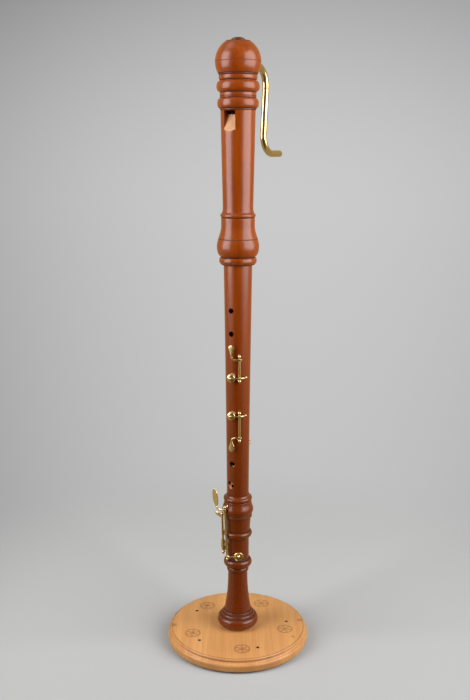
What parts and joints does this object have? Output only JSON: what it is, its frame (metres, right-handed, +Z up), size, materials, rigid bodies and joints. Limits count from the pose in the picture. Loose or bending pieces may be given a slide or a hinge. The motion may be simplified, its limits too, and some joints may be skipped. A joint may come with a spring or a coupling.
{
  "type": "bass recorder",
  "caption": "Turned maple bass recorder with a wind cap, a brass crook and brass keys, standing on the peg of a round wooden stand; joints pull apart and keys spring back.",
  "frame": {"origin": "centre of the stand's underside, on the axis of the bore", "axes": "+Z up along the bore, -Y towards the finger holes and the window, +Y towards the crook and the thumb hole"},
  "size_m": [0.2394, 0.2579, 1.005],
  "materials": {
    "maple": "stained satin gloss",
    "dark_maple": "dark stained satin gloss",
    "beech": "clear satin",
    "cedar": "bare",
    "cork": "waxed cork",
    "black_plate": "matt",
    "brass": "polished",
    "steel": "polished",
    "dark_steel": "bronzed",
    "leather": "matt"
  },
  "bodies": {
    "stand": {"stand_disc": "beech", "stand_plate": "black_plate", "stand_peg": "beech", "peg_screw": "steel", "stand_screw_1": "dark_steel", "stand_screw_2": "dark_steel", "stand_screw_3": "dark_steel", "stand_screw_4": "dark_steel", "stand_screw_5": "dark_steel"},
    "foot": {"foot_joint": "maple", "key_low_f_rod": "steel", "key_low_f_post_lower": "brass", "key_low_f_post_upper": "brass", "key_low_f_spring": "steel", "key_low_f_sharp_rod": "steel", "key_low_f_sharp_post_lower": "brass", "key_low_f_sharp_post_upper": "brass", "key_low_f_sharp_spring": "steel"},
    "low_f_key": {"key_low_f": "brass", "key_low_f_pad": "leather"},
    "low_f_sharp_key": {"key_low_f_sharp": "brass", "key_low_f_sharp_pad": "leather"},
    "lower_ring": {"lower_cork": "cork"},
    "middle": {"middle_joint": "maple", "thumb_rest": "brass", "thumb_rest_screw_1": "brass", "thumb_rest_screw_2": "brass", "key_three_rod": "steel", "key_three_post_lower": "brass", "key_three_post_upper": "brass", "key_three_spring": "steel", "key_four_rod": "steel", "key_four_post_lower": "brass", "key_four_post_upper": "brass", "key_four_spring": "steel"},
    "third_key": {"key_three": "brass", "key_three_pad": "leather", "key_three_stop_cork": "cork"},
    "fourth_key": {"key_four": "brass", "key_four_pad": "leather", "key_four_stop_cork": "cork"},
    "upper_ring": {"upper_cork": "cork"},
    "head": {"head_joint": "maple", "block": "cedar"},
    "cap_ring": {"cap_cork": "cork"},
    "wind_cap": {"cap": "maple", "cap_button": "dark_maple"},
    "crook_ring": {"crook_cork": "cork"},
    "crook": {"crook_bend": "brass", "crook_tube": "brass"},
    "mouth": {"crook_mouth": "brass"}
  },
  "joints": [
    {"name": "lift_off_stand", "type": "slide", "parent": "stand", "child": "foot", "axis": [0, 0, 1], "range_m": [0, 0.09]},
    {"name": "low_f_key_turn", "type": "hinge", "parent": "foot", "child": "low_f_key", "pos_m": [-0.01503, -0.02315, 0.1659], "axis": [-0.0147, -0.0226, 0.9996], "range_deg": [-22, 0], "stiffness_Nm_per_rad": 0.02, "springref_deg": 20.05},
    {"name": "low_f_sharp_key_turn", "type": "hinge", "parent": "foot", "child": "low_f_sharp_key", "pos_m": [-0.00673, -0.02346, 0.1548], "axis": [-0.0168, -0.0587, 0.9981], "range_deg": [-10, 0], "stiffness_Nm_per_rad": 0.02, "springref_deg": 20.05},
    {"name": "lower_tenon_pull", "type": "slide", "parent": "foot", "child": "lower_ring", "axis": [0, 0, 1], "range_m": [0, 0.04]},
    {"name": "lower_tenon_turn", "type": "hinge", "parent": "lower_ring", "child": "middle", "pos_m": [0, 0, 0.25], "axis": [0, 0, 1], "continuous": true},
    {"name": "third_key_turn", "type": "hinge", "parent": "middle", "child": "third_key", "pos_m": [0.015, -0.01955, 0.474], "axis": [0, 0, 1], "range_deg": [-14, 0], "stiffness_Nm_per_rad": 0.02, "springref_deg": 20.05},
    {"name": "fourth_key_turn", "type": "hinge", "parent": "middle", "child": "fourth_key", "pos_m": [0.01454, -0.01895, 0.4096], "axis": [0, 0, 1], "range_deg": [-14, 0], "stiffness_Nm_per_rad": 0.02, "springref_deg": 20.05},
    {"name": "upper_tenon_turn", "type": "hinge", "parent": "middle", "child": "upper_ring", "pos_m": [0, 0, 0.68], "axis": [0, 0, 1], "continuous": true},
    {"name": "upper_tenon_pull", "type": "slide", "parent": "upper_ring", "child": "head", "axis": [0, 0, 1], "range_m": [0, 0.045]},
    {"name": "cap_turn", "type": "hinge", "parent": "head", "child": "cap_ring", "pos_m": [0, 0, 0.935], "axis": [0, 0, 1], "continuous": true},
    {"name": "cap_pull", "type": "slide", "parent": "cap_ring", "child": "wind_cap", "axis": [0, 0, 1], "range_m": [0, 0.038]},
    {"name": "crook_pull", "type": "slide", "parent": "wind_cap", "child": "crook_ring", "axis": [0, 1, 0], "range_m": [0, 0.014]},
    {"name": "crook_turn", "type": "hinge", "parent": "crook_ring", "child": "crook", "pos_m": [0, 0.03, 0.969], "axis": [0, 1, 0], "continuous": true},
    {"name": "crook_mouth_turn", "type": "hinge", "parent": "crook", "child": "mouth", "pos_m": [0, 0.08053, 0.86409], "axis": [0, 0.0906, 0.9959], "range_deg": [-90, 90]}
  ]
}
